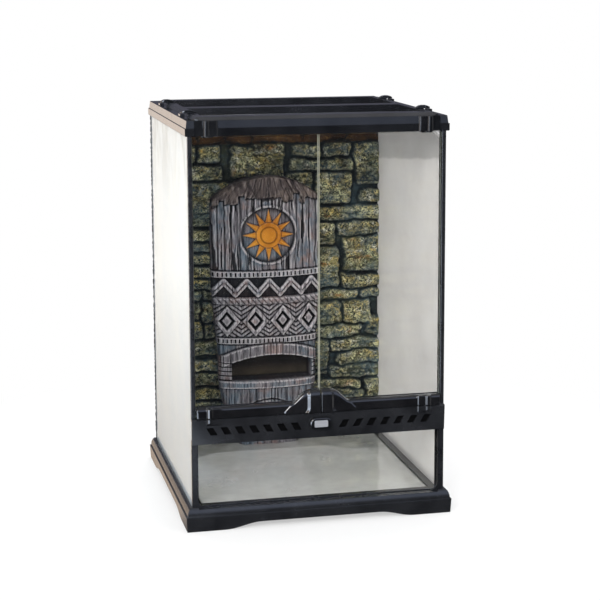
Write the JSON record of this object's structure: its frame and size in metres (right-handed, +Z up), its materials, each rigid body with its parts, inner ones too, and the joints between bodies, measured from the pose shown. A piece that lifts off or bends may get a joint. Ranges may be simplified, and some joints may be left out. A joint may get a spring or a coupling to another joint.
{
  "type": "terrarium",
  "caption": "Tall front opening glass terrarium with a lift-off screen lid, hinged double doors, a turning latch, a stone effect back wall and a carved hide panel.",
  "frame": {"origin": "middle of the base frame's outline, on the ground under the feet", "axes": "X to the right seen from the doors, Y from the doors to the back wall, Z up"},
  "size_m": [0.3164, 0.3164, 0.4782],
  "materials": {
    "frame_plastic": "satin black moulded plastic",
    "door_plastic": "glossy black moulded plastic",
    "knob_plastic": "polished black moulded plastic",
    "lid_plastic": "satin black moulded plastic",
    "clip_plastic": "black moulded plastic",
    "gate_plastic": "black moulded plastic",
    "side_pane": "clear float glass with polished edges",
    "door_pane": "clear float glass with polished edges",
    "floor_pane": "clear float glass, dull with reflections",
    "sealant": "black silicone",
    "mesh_wire": "dark coated wire mesh",
    "steel_pin": "bright drawn steel",
    "stone_foam": "painted foam, dark with ochre and olive highlights",
    "wood_foam": "painted foam, weathered grey with dark grooves"
  },
  "bodies": {
    "tank": {"base_frame": "frame_plastic", "floor_glass": "floor_pane", "left_glass": "side_pane", "right_glass": "side_pane", "back_glass": "side_pane", "front_lower_glass": "side_pane", "silicone_seams": "sealant", "front_window_trim": "frame_plastic", "left_edge_trim": "frame_plastic", "right_edge_trim": "frame_plastic", "vent_strip": "frame_plastic", "vent_mesh": "mesh_wire", "top_frame": "frame_plastic", "rock_background": "stone_foam", "carved_panel": "wood_foam"},
    "left_door": {"left_door_glass": "door_pane", "left_door_rail": "door_plastic", "left_top_hinge_cap": "door_plastic", "left_hinge_pins": "steel_pin"},
    "right_door": {"right_door_glass": "door_pane", "right_door_rail": "door_plastic", "right_top_hinge_cap": "door_plastic", "right_hinge_pins": "steel_pin"},
    "latch": {"latch_knob": "knob_plastic", "latch_shaft": "gate_plastic", "latch_ring": "steel_pin"},
    "lid": {"lid_frame": "lid_plastic", "lid_mesh": "mesh_wire"},
    "front_left_clip_body": {"front_left_clip": "clip_plastic"},
    "front_right_clip_body": {"front_right_clip": "clip_plastic"},
    "rear_left_clip_body": {"rear_left_clip": "clip_plastic"},
    "rear_right_clip_body": {"rear_right_clip": "clip_plastic"},
    "left_gate": {"left_cable_gate": "gate_plastic"},
    "right_gate": {"right_cable_gate": "gate_plastic"}
  },
  "joints": [
    {"name": "left_door_hinge", "type": "hinge", "parent": "tank", "child": "left_door", "pos_m": [-0.127, -0.151, 0.29], "axis": [0, 0, -1], "range_deg": [0, 110]},
    {"name": "right_door_hinge", "type": "hinge", "parent": "tank", "child": "right_door", "pos_m": [0.127, -0.151, 0.29], "axis": [0, 0, 1], "range_deg": [0, 110]},
    {"name": "latch_turn", "type": "hinge", "parent": "tank", "child": "latch", "pos_m": [0, -0.15, 0.1184], "axis": [0, -1, 0], "range_deg": [0, 90]},
    {"name": "lid_lift", "type": "slide", "parent": "tank", "child": "lid", "axis": [0, 0, 1], "range_m": [0, 0.06]},
    {"name": "front_left_clip_slide", "type": "slide", "parent": "lid", "child": "front_left_clip_body", "axis": [1, 0, 0], "range_m": [0, 0.0056]},
    {"name": "front_right_clip_slide", "type": "slide", "parent": "lid", "child": "front_right_clip_body", "axis": [-1, 0, 0], "range_m": [0, 0.0056]},
    {"name": "rear_left_clip_slide", "type": "slide", "parent": "lid", "child": "rear_left_clip_body", "axis": [1, 0, 0], "range_m": [0, 0.0056]},
    {"name": "rear_right_clip_slide", "type": "slide", "parent": "lid", "child": "rear_right_clip_body", "axis": [-1, 0, 0], "range_m": [0, 0.0056]},
    {"name": "left_gate_slide", "type": "slide", "parent": "tank", "child": "left_gate", "axis": [-1, 0, 0], "range_m": [0, 0.0295]},
    {"name": "right_gate_slide", "type": "slide", "parent": "tank", "child": "right_gate", "axis": [1, 0, 0], "range_m": [0, 0.0295]}
  ]
}
